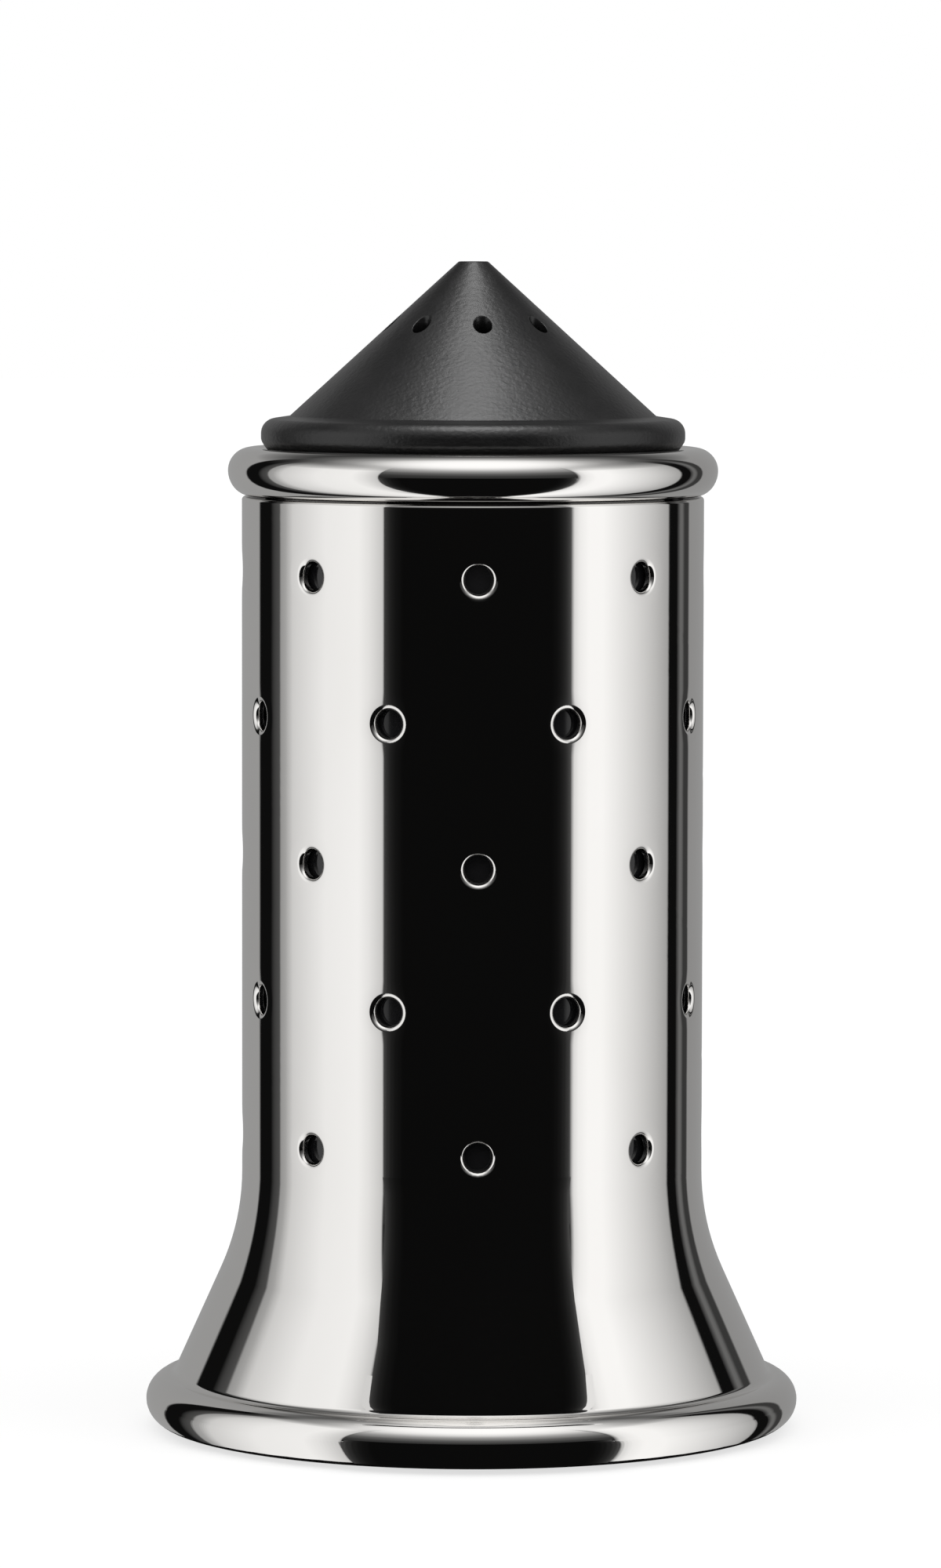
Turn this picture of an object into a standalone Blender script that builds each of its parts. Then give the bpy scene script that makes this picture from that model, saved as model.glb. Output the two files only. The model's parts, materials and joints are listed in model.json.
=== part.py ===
# Table salt shaker: a perforated steel shell round a moulded salt container, closed by a screw-on cone cap.
# Sizes are in millimetres and become metres in the meshes. +Z is up and the front faces -Y.
# The origin lies on the table, under the middle of the foot.

import math

import bmesh
import bpy
from mathutils import Matrix, Vector

MM = 0.001
MERGE = 1e-4  # points closer than this are one point
SEGMENTS = 48  # sides of a turned piece, so that every hole falls on a column of points
CHORD_ERROR = 0.07  # how far a facet may stray from a true arc
SMOOTH_ANGLE = 35.0
OVERRUN = 1.0  # how far a cutter runs past the wall that it cuts
FIT = 0.3  # clearance between pieces that seat on each other

# Steel shell, formed from one sheet
BODY_RADIUS = 18.75
SHEET = 0.8
SHELL_TOP = 79.95
TOP_BEAD_RADIUS = 1.85
TOP_BEAD_PROUD = 1.13  # how far the bead stands out from the body
LIP_END = 225.0  # degrees round the top bead at which its rolled lip stops
CREASE_FILLET = 0.4
FLARE_TOP = 16.8  # height at which the slope of the flare would meet the body
FLARE_BLEND = 20.0
FLARE_LANDING = 96.0  # degrees round the base bead at which the flare comes down on it
FOOT_SPREAD = 7.85  # how far the foot stands out from the body
FOOT_FILLET = 0.7
FOOT_STAND = 0.3  # the base bead clears the table by this
BASE_BEAD_RADIUS = 2.0
CURL_END = -215.0  # degrees round the base bead at which its curl stops

# Holes through the shell, in rows that are turned by half a step against each other
HOLE_RADIUS = 1.2
HOLE_LIP = 0.22
HOLE_SIDES = 12
HOLES_AROUND = 8
HOLE_ROWS = 5
TOP_ROW_DROP = 9.9  # below the top of the shell
LOW_ROW_RISE = 7.4  # above the top of the flare
FRONT = -90.0  # direction of the front, in degrees from +X

# Cone cap with its rim ring and inner collar
CAP_LIFT = 0.35  # gap between the ring and the top bead
CAP_TURN = 5.1
RING_HEIGHT = 2.3
RING_INSET = 0.81  # from the crown of the top bead in to the edge of the ring
RING_EDGE = 1.2  # rounding of the rim
RING_ROUND_END = -30.0  # degrees at which the rounding stops, below the rim
RING_FALL = 0.2  # drop of the ring from the cone to the rim
RING_UNDERCUT = 0.3
RING_LEDGE = 2.47  # width of the ring outside the cone
CONE_HEIGHT = 12.4
TIP_RADIUS = 1.18
CAP_WALL = 1.5
APEX_RADIUS = 1.0  # flat at the top of the hollow
LAND_WALL = 0.8  # from the top of the ring down to the seat of the seal
POUR_HOLES = 8
POUR_RADIUS = 0.73
POUR_DROP = 5.0  # below the tip
POUR_SIDES = 12
COLLAR_GAP = 0.4
COLLAR_WALL = 1.1
COLLAR_LIFT = 0.4  # above the shoulder of the container

# Seal ring in the cap
SEAL_THICKNESS = 0.8
SEAL_OVERHANG = 0.1  # how far the neck reaches inside the ring

# Salt container
CONTAINER_WALL = 1.2
NECK_WALL = 1.2
THREAD_ROOM = 0.9  # between the neck and the collar
NECK_CHAMFER = 0.3
SHOULDER_CHAMFER = 0.5
SHOULDER_WALL = 1.2
SHOULDER_SLOPE = 2.0  # drop of the shoulder's underside, so that salt runs out
FLOOR_SEAT = 0.3  # width of the ledge that the floor comes up to

# Floor of the container, an upside-down cup
FLOOR_LEDGE = 5.5  # above the base plate
FLOOR_THICKNESS = 1.4
FLOOR_RIM = 1.1
FLOOR_RIM_LIFT = 0.8  # from the base plate up to the rim

# Base plate, snapped into the foot
PLATE_INSET = 0.7  # above the underside of the base bead
PLATE_WEB = 0.7  # left above the groove
RIM_WALL = 1.1
HOOK = 0.6
HOOK_HEIGHT = 1.4
RIM_CHAMFER = 0.3
LOCATOR_WALL = 1.25
SNAP_SLOTS = 6
SLOT_WIDTH = 3.0
SLOT_LIFT = 0.3  # from the web up to the foot of a slot
KEYS = 3
KEY_WIDTH = 3.0
KEY_HEIGHT = 1.6
KEY_REACH = 0.55  # past the outside of the container

# Non-slip ring, which the shaker stands on
GRIP_INSET = 3.3  # from the edge of the base plate in to the middle of the ring
GRIP_WIDTH = 2.2
GRIP_HEIGHT = 1.6
GRIP_CHAMFER = 0.3

# Places that follow from these sizes
body_bore = BODY_RADIUS - SHEET
top_bead = Vector((BODY_RADIUS + TOP_BEAD_PROUD - TOP_BEAD_RADIUS, SHELL_TOP - TOP_BEAD_RADIUS))
base_bead = Vector((BODY_RADIUS + FOOT_SPREAD - BASE_BEAD_RADIUS, FOOT_STAND + BASE_BEAD_RADIUS))
lip_bottom = top_bead.y + TOP_BEAD_RADIUS * math.sin(math.radians(LIP_END))
curl_top = base_bead.y + BASE_BEAD_RADIUS * math.sin(math.radians(CURL_END))

ring_bottom = SHELL_TOP + CAP_LIFT
ring_top = ring_bottom + RING_HEIGHT
ring_radius = top_bead.x - RING_INSET
cone_radius = ring_radius - RING_LEDGE
cone_slope = (cone_radius - TIP_RADIUS) / CONE_HEIGHT
tip_height = ring_top + CONE_HEIGHT
seal_land = ring_top - LAND_WALL
seal_bottom = seal_land - FIT - SEAL_THICKNESS

shoulder = lip_bottom - FIT
neck_top = seal_bottom - FIT
collar_radius = top_bead.x - TOP_BEAD_RADIUS - COLLAR_GAP
collar_bore = collar_radius - COLLAR_WALL
neck_radius = collar_bore - THREAD_ROOM
neck_bore = neck_radius - NECK_WALL
seal_bore = neck_bore + SEAL_OVERHANG

plate_radius = base_bead.x - BASE_BEAD_RADIUS - FIT
plate_bottom = FOOT_STAND + PLATE_INSET
plate_top = GRIP_HEIGHT + FIT + PLATE_WEB
container_radius = body_bore - FIT
container_bore = container_radius - CONTAINER_WALL
container_bottom = plate_top + FIT
floor_ledge = plate_top + FLOOR_LEDGE
floor_radius = container_bore + FLOOR_SEAT - FIT
floor_top = floor_ledge - FIT
floor_bottom = floor_top - FLOOR_THICKNESS
rim_bore = floor_radius - FLOOR_RIM
key_top = plate_top + KEY_HEIGHT
grip_radius = plate_radius - GRIP_INSET


def polar(centre, radius, degrees):
    angle = math.radians(degrees)
    return centre + radius * Vector((math.cos(angle), math.sin(angle)))


def direction(start, end):
    """Degrees from one point towards another, in the plane of radius and height."""
    return math.degrees(math.atan2(end.y - start.y, end.x - start.x))


def arc(centre, radius, start, end):
    """Points of an arc, from start to end degrees, close enough to keep to the chord error."""
    step = math.degrees(2 * math.acos(1 - CHORD_ERROR / radius))
    count = math.ceil(abs(end - start) / step)
    return [polar(centre, radius, start + (end - start) * i / count) for i in range(count + 1)]


def outline(*stretches):
    """One path through single points and arcs, with a point that two of them share kept once."""
    path = []
    for stretch in stretches:
        for point in stretch if isinstance(stretch, list) else [Vector(stretch)]:
            if not path or (point - path[-1]).length > MERGE:
                path.append(point)
    return path


def offset(path, distance):
    """The path moved to the right of its travel, with mitred corners."""
    normals = []
    for start, end in zip(path, path[1:]):
        along = (end - start).normalized()
        normals.append(Vector((along.y, -along.x)))
    before = [normals[0]] + normals
    after = normals + [normals[-1]]
    return [
        point + (a + b) * distance / (1 + a.dot(b))
        for point, a, b in zip(path, before, after)
    ]


def turned(path, sides=SEGMENTS):
    """A path of radius and height turned about the Z axis, closed unless its ends are both on the axis."""
    bm = bmesh.new()
    points = [bm.verts.new((point.x * MM, 0.0, point.y * MM)) for point in path]
    edges = []
    for i, point in enumerate(path):
        if point.x > MERGE or path[i - 1].x > MERGE:
            edges.append(bm.edges.new((points[i - 1], points[i])))
    full_turn = 2 * math.pi
    bmesh.ops.spin(bm, geom=points + edges, axis=(0, 0, 1), angle=full_turn, steps=sides, use_merge=True)
    bmesh.ops.remove_doubles(bm, verts=bm.verts, dist=MERGE * MM)
    bmesh.ops.recalc_face_normals(bm, faces=bm.faces)
    return bm


def bar(inner, outer, width, bottom, top):
    """A straight bar along +X between two radii and two heights."""
    bm = bmesh.new()
    middle = Vector((inner + outer, 0, bottom + top)) * MM / 2
    size = Vector((outer - inner, width, top - bottom)) * MM
    bmesh.ops.create_cube(bm, size=1, matrix=Matrix.LocRotScale(middle, None, size))
    return bm


def copies(shape, places):
    """One mesh that holds the shape at each of the places."""
    template = bpy.data.meshes.new("template")
    shape.to_mesh(template)
    shape.free()
    bm = bmesh.new()
    for place in places:
        first = len(bm.verts)
        bm.from_mesh(template)
        bm.verts.ensure_lookup_table()
        bmesh.ops.transform(bm, matrix=place, verts=bm.verts[first:])
    bpy.data.meshes.remove(template)
    return bm


def around(count, start):
    """Turns about the Z axis by equal steps."""
    return [Matrix.Rotation(math.radians(start + 360 * i / count), 4, "Z") for i in range(count)]


def finish(name, colour, roughness, metallic=0.0):
    material = bpy.data.materials.new(name)
    material.use_nodes = True
    shader = material.node_tree.nodes["Principled BSDF"]
    shader.inputs["Base Color"].default_value = (*colour, 1)
    shader.inputs["Roughness"].default_value = roughness
    shader.inputs["Metallic"].default_value = metallic
    return material


def frame(name, height, parent=None):
    """An empty on the shaker's axis, which carries pieces."""
    empty = bpy.data.objects.new(name, None)
    empty.location.z = height * MM
    empty.parent = parent
    bpy.context.scene.collection.objects.link(empty)
    return empty


def add(name, bm, parent, material=None, origin=0.0):
    """A mesh object under its parent, with its origin at this height on the axis."""
    mesh = bpy.data.meshes.new(name)
    bmesh.ops.translate(bm, verts=bm.verts, vec=(0, 0, -origin * MM))
    bm.to_mesh(mesh)
    bm.free()
    mesh.shade_smooth()
    mesh.set_sharp_from_angle(angle=math.radians(SMOOTH_ANGLE))
    piece = bpy.data.objects.new(name, mesh)
    piece.parent = parent
    if material:
        mesh.materials.append(material)
    bpy.context.scene.collection.objects.link(piece)
    return piece


def combine(piece, name, bm, operation, origin=0.0):
    """Cuts a shape from a piece, or joins it on."""
    tool = add(f"{piece.name}_{name}", bm, piece, origin=origin)
    tool.hide_render = True
    tool.display_type = "WIRE"
    modifier = piece.modifiers.new(name, "BOOLEAN")
    modifier.operation = operation
    modifier.object = tool


def shell_face():
    """The outside of the sheet, from the lip in the mouth over both beads to the end of the curl."""
    reach = BODY_RADIUS + CREASE_FILLET - top_bead.x
    drop = math.sqrt((TOP_BEAD_RADIUS + CREASE_FILLET) ** 2 - reach**2)
    crease = top_bead + Vector((reach, -drop))
    landing = polar(base_bead, BASE_BEAD_RADIUS, FLARE_LANDING)
    lean = math.atan2(landing.x - BODY_RADIUS, FLARE_TOP - landing.y)
    lean_degrees = math.degrees(lean)
    blend = Vector((BODY_RADIUS + FLARE_BLEND, FLARE_TOP + FLARE_BLEND * math.tan(lean / 2)))
    along = Vector((math.sin(lean), -math.cos(lean)))
    outward = Vector((math.cos(lean), math.sin(lean)))
    # The fillet touches the slope of the flare and, from outside, the base bead.
    spoke = landing - base_bead
    room = 2 * FOOT_FILLET * (BASE_BEAD_RADIUS - spoke.dot(outward))
    back = spoke.dot(along) + math.sqrt(spoke.dot(along) ** 2 + room)
    fillet = landing + FOOT_FILLET * outward - back * along
    return outline(
        arc(top_bead, TOP_BEAD_RADIUS, LIP_END, direction(top_bead, crease)),
        arc(crease, CREASE_FILLET, direction(crease, top_bead), 180),
        arc(blend, FLARE_BLEND, 180, 180 + lean_degrees),
        arc(fillet, FOOT_FILLET, 180 + lean_degrees, direction(fillet, base_bead) % 360),
        arc(base_bead, BASE_BEAD_RADIUS, direction(base_bead, fillet), CURL_END),
    )


def shell_holes():
    """Plugs with a flared end, one for each hole."""
    lip_foot = BODY_RADIUS - HOLE_LIP
    inside = body_bore - OVERRUN
    outside = BODY_RADIUS + OVERRUN
    plug = turned(
        outline(
            (0, outside),
            (HOLE_RADIUS + HOLE_LIP + OVERRUN, outside),
            (HOLE_RADIUS, lip_foot),
            (HOLE_RADIUS, inside),
            (0, inside),
        ),
        HOLE_SIDES,
    )
    top_row = SHELL_TOP - TOP_ROW_DROP
    low_row = FLARE_TOP + LOW_ROW_RISE
    facing_out = Matrix.Rotation(math.radians(90), 4, "Y")
    places = []
    for row in range(HOLE_ROWS):
        height = top_row + (low_row - top_row) * row / (HOLE_ROWS - 1)
        start = FRONT + (row % 2) * 180 / HOLES_AROUND
        lift = Matrix.Translation((0, 0, height * MM))
        places += [lift @ turn @ facing_out for turn in around(HOLES_AROUND, start)]
    return copies(plug, places)


def steel_shell(parent):
    face = shell_face()
    polished_steel = finish("polished_steel", (0.78, 0.78, 0.79), 0.08, metallic=1.0)
    shell = add("steel_shell", turned(face + offset(face, SHEET)[::-1]), parent, polished_steel)
    combine(shell, "holes", shell_holes(), "DIFFERENCE")


def key_notches():
    """Room for the keys of the base plate in the pieces that stand on it."""
    inner = rim_bore - OVERRUN
    outer = container_radius + OVERRUN
    notch = bar(inner, outer, KEY_WIDTH + 2 * FIT, plate_top - OVERRUN, key_top + FIT)
    return copies(notch, around(KEYS, FRONT))


def salt_container(parent):
    slope_top = shoulder - SHOULDER_WALL
    container = turned(
        outline(
            (neck_bore, neck_top),
            (neck_radius - NECK_CHAMFER, neck_top),
            (neck_radius, neck_top - NECK_CHAMFER),
            (neck_radius, shoulder),
            (container_radius - SHOULDER_CHAMFER, shoulder),
            (container_radius, shoulder - SHOULDER_CHAMFER),
            (container_radius, container_bottom),
            (container_bore + FLOOR_SEAT, container_bottom),
            (container_bore + FLOOR_SEAT, floor_ledge),
            (container_bore, floor_ledge),
            (container_bore, slope_top - SHOULDER_SLOPE),
            (neck_bore, slope_top),
        )
    )
    gloss_black = finish("gloss_black", (0.012, 0.012, 0.013), 0.2)
    container = add("salt_container", container, parent, gloss_black)
    combine(container, "notches", key_notches(), "DIFFERENCE")


def container_floor(parent):
    floor = turned(
        outline(
            (0, floor_top),
            (floor_radius, floor_top),
            (floor_radius, plate_top + FLOOR_RIM_LIFT),
            (rim_bore, plate_top + FLOOR_RIM_LIFT),
            (rim_bore, floor_bottom),
            (0, floor_bottom),
        )
    )
    floor_black = finish("floor_black", (0.014, 0.014, 0.015), 0.3)
    floor = add("container_floor", floor, parent, floor_black)
    combine(floor, "notches", key_notches(), "DIFFERENCE")


def base_plate(parent):
    hook_bottom = curl_top + FIT
    rim_top = hook_bottom + HOOK_HEIGHT
    locator_radius = rim_bore - FIT
    groove_inner = grip_radius - GRIP_WIDTH / 2 - FIT
    groove_outer = grip_radius + GRIP_WIDTH / 2 + FIT
    plate = turned(
        outline(
            (0, plate_top),
            (locator_radius - LOCATOR_WALL, plate_top),
            (locator_radius - LOCATOR_WALL, floor_bottom - FIT),
            (locator_radius, floor_bottom - FIT),
            (locator_radius, plate_top),
            (plate_radius - RIM_WALL, plate_top),
            (plate_radius - RIM_WALL, rim_top),
            (plate_radius, rim_top),
            (plate_radius + HOOK, hook_bottom),
            (plate_radius, hook_bottom),
            (plate_radius, plate_bottom + RIM_CHAMFER),
            (plate_radius - RIM_CHAMFER, plate_bottom),
            (groove_outer, plate_bottom),
            (groove_outer, GRIP_HEIGHT + FIT),
            (groove_inner, GRIP_HEIGHT + FIT),
            (groove_inner, plate_bottom),
            (0, plate_bottom),
        )
    )
    plate = add("base_plate", plate, parent, finish("base_black", (0.025, 0.025, 0.026), 0.45))
    key_root = locator_radius - LOCATOR_WALL / 2
    key = bar(key_root, container_radius + KEY_REACH, KEY_WIDTH, plate_top - PLATE_WEB / 2, key_top)
    combine(plate, "keys", copies(key, around(KEYS, FRONT)), "UNION")
    slot_inner = plate_radius - RIM_WALL - OVERRUN
    slot_outer = plate_radius + HOOK + OVERRUN
    slot = bar(slot_inner, slot_outer, SLOT_WIDTH, plate_top + SLOT_LIFT, rim_top + OVERRUN)
    combine(plate, "slots", copies(slot, around(SNAP_SLOTS, FRONT)), "DIFFERENCE")


def non_slip_ring(parent):
    inner = grip_radius - GRIP_WIDTH / 2
    outer = grip_radius + GRIP_WIDTH / 2
    ring = turned(
        outline(
            (inner, GRIP_HEIGHT),
            (outer, GRIP_HEIGHT),
            (outer, GRIP_CHAMFER),
            (outer - GRIP_CHAMFER, 0),
            (inner + GRIP_CHAMFER, 0),
            (inner, GRIP_CHAMFER),
        )
    )
    add("non_slip_ring", ring, parent, finish("black_rubber", (0.02, 0.02, 0.02), 0.75))


def cap_seal(parent):
    ring = turned(
        outline(
            (seal_bore, seal_land - FIT),
            (collar_bore - FIT, seal_land - FIT),
            (collar_bore - FIT, seal_bottom),
            (seal_bore, seal_bottom),
        )
    )
    add("cap_seal", ring, parent, finish("grey_silicone", (0.5, 0.5, 0.49), 0.6), SHELL_TOP)


def cone_cap(parent):
    wall_across = CAP_WALL * math.hypot(1, cone_slope)
    hollow_foot = tip_height - (seal_bore + wall_across - TIP_RADIUS) / cone_slope
    hollow_top = tip_height - (APEX_RADIUS + wall_across - TIP_RADIUS) / cone_slope
    ring_edge = Vector((ring_radius - RING_EDGE, ring_top - RING_FALL - RING_EDGE))
    cap = turned(
        outline(
            (0, tip_height),
            (TIP_RADIUS, tip_height),
            (cone_radius, ring_top),
            arc(ring_edge, RING_EDGE, 90, RING_ROUND_END),
            (ring_radius - RING_UNDERCUT, ring_bottom),
            (collar_radius, ring_bottom),
            (collar_radius, shoulder + COLLAR_LIFT),
            (collar_bore, shoulder + COLLAR_LIFT),
            (collar_bore, seal_land),
            (seal_bore, seal_land),
            (seal_bore, hollow_foot),
            (APEX_RADIUS, hollow_top),
            (0, hollow_top),
        )
    )
    cap = add("cone_cap", cap, parent, finish("matte_black", (0.03, 0.03, 0.031), 0.5), SHELL_TOP)
    pour_circle = TIP_RADIUS + POUR_DROP * cone_slope
    pin = turned(
        outline((0, tip_height), (POUR_RADIUS, tip_height), (POUR_RADIUS, ring_top), (0, ring_top)),
        POUR_SIDES,
    )
    outwards = Matrix.Translation((pour_circle * MM, 0, 0))
    places = [turn @ outwards for turn in around(POUR_HOLES, FRONT)]
    combine(cap, "pour_holes", copies(pin, places), "DIFFERENCE", SHELL_TOP)
    cap.rotation_euler.z = math.radians(CAP_TURN)


for old in list(bpy.data.objects):
    bpy.data.objects.remove(old)

shaker_frame = frame("shaker_frame", 0.0)
cap_axis = frame("cap_axis", SHELL_TOP, shaker_frame)
steel_shell(shaker_frame)
salt_container(shaker_frame)
container_floor(shaker_frame)
base_plate(shaker_frame)
non_slip_ring(shaker_frame)
cap_seal(cap_axis)
cone_cap(cap_axis)
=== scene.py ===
import json
import math

import bmesh
import bpy
from mathutils import Matrix, Vector


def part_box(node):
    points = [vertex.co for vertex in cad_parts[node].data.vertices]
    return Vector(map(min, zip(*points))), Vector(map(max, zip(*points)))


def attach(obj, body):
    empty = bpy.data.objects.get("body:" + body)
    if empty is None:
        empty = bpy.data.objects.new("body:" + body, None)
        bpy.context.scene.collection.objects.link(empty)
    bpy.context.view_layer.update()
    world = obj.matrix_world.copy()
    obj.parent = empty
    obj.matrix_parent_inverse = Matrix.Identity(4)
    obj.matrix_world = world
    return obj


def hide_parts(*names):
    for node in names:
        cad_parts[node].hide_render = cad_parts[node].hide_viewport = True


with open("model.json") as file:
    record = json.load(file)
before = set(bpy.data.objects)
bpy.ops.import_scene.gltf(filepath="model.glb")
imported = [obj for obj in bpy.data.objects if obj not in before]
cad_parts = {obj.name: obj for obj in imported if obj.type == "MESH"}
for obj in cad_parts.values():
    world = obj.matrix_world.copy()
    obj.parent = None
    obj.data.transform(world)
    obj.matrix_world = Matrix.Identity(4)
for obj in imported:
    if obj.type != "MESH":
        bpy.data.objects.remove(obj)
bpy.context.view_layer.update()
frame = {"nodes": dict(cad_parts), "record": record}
mm = 0.001  # shapes are drawn in millimetres, the scene is in metres
auto = (0.0, 0.0, 0.0)  # a facing that Blender works out itself
columns = 128  # sides of every turned shape
frontColumn = columns * 3 // 4  # the column that faces the front, -Y
sharpAngle = 32  # edges that turn by more than this stay sharp
weldPlaces = 5  # points that agree to this many decimal places are one point
print("frame loaded:", ", ".join(sorted(frame["nodes"])))


def size(node):
    low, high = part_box(node)
    return low / mm, high / mm


# A skin collects points with the way the surface faces there, and the faces between them.
class Skin:
    def __init__(self):
        self.points, self.facings, self.faces, self.known = [], [], [], {}

    def point(self, place, facing=auto):
        key = tuple(round(c, weldPlaces) + 0.0 for c in place)  # adding 0.0 makes -0.0 a plain 0.0
        if key not in self.known:
            self.known[key] = len(self.points)
            self.points.append(tuple(place))
            self.facings.append(tuple(facing))
        return self.known[key]

    def face(self, *corners):
        kept = [c for i, c in enumerate(corners) if c != corners[i - 1]]
        if len(kept) > 2:
            self.faces.append(kept)

    def bridge(self, rings):
        for upper, lower in zip(rings, rings[1:]):
            for i in range(len(upper)):
                self.face(upper[i - 1], lower[i - 1], lower[i], upper[i])


def meshObject(name, skin):
    mesh = bpy.data.meshes.new(name)
    mesh.from_pydata([Vector(p) * mm for p in skin.points], [], skin.faces)
    bm = bmesh.new()
    bm.from_mesh(mesh)
    bmesh.ops.recalc_face_normals(bm, faces=bm.faces[:])
    bm.to_mesh(mesh)
    bm.free()
    mesh.shade_smooth()
    mesh.normals_split_custom_set_from_vertices(skin.facings)
    obj = bpy.data.objects.new(name, mesh)
    bpy.context.scene.collection.objects.link(obj)
    return obj


# A turned shape is a list of stations: radius, height, and the way the surface faces there.
def bend(centre, radius, start, end, hollow=False, step=8):
    steps = max(3, math.ceil(abs(end - start) / step))
    way = -1 if hollow else 1
    stations = []
    for i in range(steps + 1):
        a = math.radians(start + (end - start) * i / steps)
        c, s = math.cos(a), math.sin(a)
        stations.append((centre[0] + radius * c, centre[1] + radius * s, way * c, way * s))
    return stations


def rounded(corners, step=15):
    # corners are radius, height, fillet, with the outside on the left; the two ends stay as they are
    places = [Vector(c[:2]) for c in corners]
    ways = [(b - a).normalized() for a, b in zip(places, places[1:])]
    sides = [Vector((-w.y, w.x)) for w in ways]
    stations = [(*places[0], *sides[0])]
    for place, corner, w0, w1, n0 in zip(places[1:], corners[1:], ways, ways[1:], sides):
        angle = math.atan2(w0.cross(w1), w0.dot(w1))
        fillet = corner[2]
        hollow = 1 if angle > 0 else -1
        start = place - w0 * fillet * math.tan(abs(angle) / 2)
        centre = start + n0 * fillet * hollow
        steps = max(2, math.ceil(math.degrees(abs(angle)) / step))
        for i in range(steps + 1):
            n = Matrix.Rotation(angle * i / steps, 2) @ n0
            stations.append((*(centre - n * fillet * hollow), *n))
    stations.append((*places[-1], *sides[-1]))
    return stations


def columnAngle(column):
    return 2 * math.pi * (column % columns) / columns


def turned(skin, stations):
    rings = []
    for r, z, nr, nz in stations:
        if r == 0:  # on the axis
            rings.append([skin.point((0.0, 0.0, z), (0.0, 0.0, math.copysign(1, nz)))] * columns)
            continue
        ring = []
        for column in range(columns):
            a = columnAngle(column)
            c, s = math.cos(a), math.sin(a)
            ring.append(skin.point((r * c, r * s, z), (nr * c, nr * s, nz)))
        rings.append(ring)
    skin.bridge(rings)


def flatRing(skin, node, bore, topRound, footRound):
    # as high and as wide as the node, with the outline opened halfway up the bore
    low, high = size(node)
    middle = (bore, (low.z + high.z) / 2, 0)
    corners = [
        middle,
        (bore, high.z, topRound),
        (high.x, high.z, topRound),
        (high.x, low.z, footRound),
        (bore, low.z, footRound),
        middle,
    ]
    turned(skin, rounded(corners))


# Straight bars for slots, keys and notches, set round the axis with the first one at the front
past = 1.0  # bars that cut reach this far past what they cut
frontTurn = 0.25  # share of a turn from the front to +X


def barsAround(name, count, inner, outer, width, low, high):
    bm = bmesh.new()
    middle = Vector(((inner + outer) / 2, 0, (low + high) / 2))
    for k in range(count):
        turn = Matrix.Rotation(2 * math.pi * (k / count - frontTurn), 4, "Z")
        box = Matrix.LocRotScale(middle * mm, None, Vector((outer - inner, width, high - low)) * mm)
        bmesh.ops.create_cube(bm, size=1, matrix=turn @ box)
    mesh = bpy.data.meshes.new(name)
    bm.to_mesh(mesh)
    bm.free()
    obj = bpy.data.objects.new(name, mesh)
    bpy.context.scene.collection.objects.link(obj)
    return obj


def combined(obj, *steps):
    # each step is an operation and the bars that it uses up
    for operation, bars in steps:
        modifier = obj.modifiers.new(bars.name, "BOOLEAN")
        modifier.operation = operation
        modifier.object = bars
    bpy.context.view_layer.update()
    ready = obj.evaluated_get(bpy.context.evaluated_depsgraph_get())
    mesh = bpy.data.meshes.new_from_object(ready)
    obj.modifiers.clear()
    obj.data = mesh
    for operation, bars in steps:
        bpy.data.objects.remove(bars)
    if "custom_normal" in mesh.attributes:
        mesh.attributes.remove(mesh.attributes["custom_normal"])
    mesh.shade_smooth()
    mesh.set_sharp_from_angle(angle=math.radians(sharpAngle))
    return obj


def keep(obj, node, body, material):
    obj.data.materials.clear()
    obj.data.materials.append(material)
    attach(obj, body)
    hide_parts(node)
    print("made", obj.name, len(obj.data.polygons), "faces")


# Finishes: a noise spreads two tones and a range of roughness, and a finer one gives the grain.
# A noise takes its waves for each metre across, deep and up.
noiseLow, noiseHigh = 0.3, 0.7  # most of a noise lies between these


def newFinish(name, colour, roughness, metallic=0.0):
    material = bpy.data.materials.new(name)
    material.use_nodes = True
    shader = material.node_tree.nodes["Principled BSDF"]
    shader.inputs["Base Color"].default_value = (*colour, 1)
    shader.inputs["Roughness"].default_value = roughness
    shader.inputs["Metallic"].default_value = metallic
    return material, material.node_tree, shader


def place(tree, stretch):
    where = tree.nodes.new("ShaderNodeTexCoord")
    mapping = tree.nodes.new("ShaderNodeMapping")
    mapping.inputs["Scale"].default_value = stretch
    tree.links.new(where.outputs["Object"], mapping.inputs["Vector"])
    return mapping.outputs["Vector"]


def noise(tree, stretch, detail=2.0, distortion=0.0):
    texture = tree.nodes.new("ShaderNodeTexNoise")
    texture.inputs["Scale"].default_value = 1.0
    texture.inputs["Detail"].default_value = detail
    texture.inputs["Distortion"].default_value = distortion
    tree.links.new(place(tree, stretch), texture.inputs["Vector"])
    return texture.outputs["Fac"]


def ranged(tree, value, low, high, fromLow=noiseLow, fromHigh=noiseHigh):
    spread = tree.nodes.new("ShaderNodeMapRange")
    spread.inputs["From Min"].default_value = fromLow
    spread.inputs["From Max"].default_value = fromHigh
    spread.inputs["To Min"].default_value = low
    spread.inputs["To Max"].default_value = high
    tree.links.new(value, spread.inputs["Value"])
    return spread.outputs["Result"]


def blended(tree, value, dark, light, socket):
    ramp = tree.nodes.new("ShaderNodeValToRGB")
    for mark, position, tone in zip(ramp.color_ramp.elements, (noiseLow, noiseHigh), (dark, light)):
        mark.position = position
        mark.color = (*tone, 1)
    tree.links.new(value, ramp.inputs["Fac"])
    tree.links.new(ramp.outputs["Color"], socket)


def bumped(tree, value, depth, shader, strength=1.0):
    bump = tree.nodes.new("ShaderNodeBump")
    bump.inputs["Strength"].default_value = strength
    bump.inputs["Distance"].default_value = depth
    tree.links.new(value, bump.inputs["Height"])
    tree.links.new(bump.outputs["Normal"], shader.inputs["Normal"])


# Painted shade: the steel's colour is darkened in the narrow groove under the top bead, where the crease is
# shaded
grooveShade = {"colour": (0.2, 0.195, 0.19), "height": 76.06, "half": 0.04, "fade": 0.05}


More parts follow.
